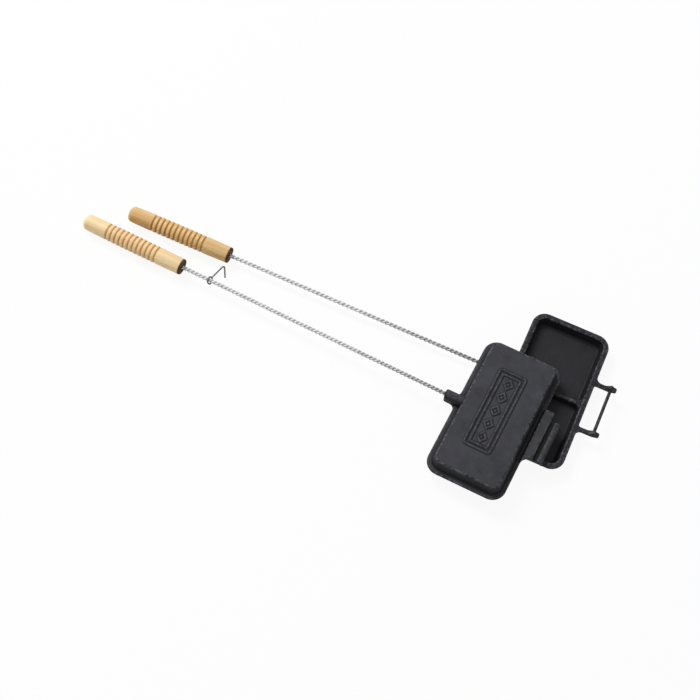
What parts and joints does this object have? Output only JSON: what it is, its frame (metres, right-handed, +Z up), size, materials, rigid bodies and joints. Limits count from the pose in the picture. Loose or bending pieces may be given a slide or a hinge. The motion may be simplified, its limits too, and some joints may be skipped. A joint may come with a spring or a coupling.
{
  "type": "double pie iron",
  "caption": "Double pie iron: two cast pans on twisted wire rods with turned wooden handles, opened and laid down.",
  "frame": {"origin": "middle of the far pan's flat back, which lies on the table", "axes": "+X along the far rod from the handle toward the hinge, +Z up from the table, +Y across the rods away from the near half"},
  "size_m": [0.7813, 0.301, 0.0435],
  "materials": {
    "cast_iron": "seasoned black, slightly rough",
    "pin_steel": "darkened",
    "rod_wire": "bright drawn wire",
    "wood": "turned, clear coat",
    "clip_wire": "plain wire"
  },
  "bodies": {
    "far_half": {"far_pan": "cast_iron", "far_rod_wire_1": "rod_wire", "far_rod_wire_2": "rod_wire", "far_handle": "wood"},
    "pin": {"hinge_pin": "pin_steel"},
    "near_half": {"near_pan": "cast_iron", "near_rod_wire_1": "rod_wire", "near_rod_wire_2": "rod_wire", "near_handle": "wood"},
    "clip": {"handle_clip": "clip_wire"}
  },
  "joints": [
    {"name": "pin_turn", "type": "hinge", "parent": "far_half", "child": "pin", "pos_m": [0.0792, 0, 0.021], "axis": [0, 1, 0], "continuous": true},
    {"name": "near_lift", "type": "hinge", "parent": "far_half", "child": "near_half", "pos_m": [0.02748, -0.0817, 0.0257], "axis": [0.0592, 0.9982, 0.0031], "range_deg": [0, 100]},
    {"name": "clip_swing", "type": "hinge", "parent": "near_half", "child": "clip", "pos_m": [-0.49239, -0.05082, 0.01626], "axis": [0.9979, -0.0593, 0.0257], "range_deg": [0, 180]}
  ]
}
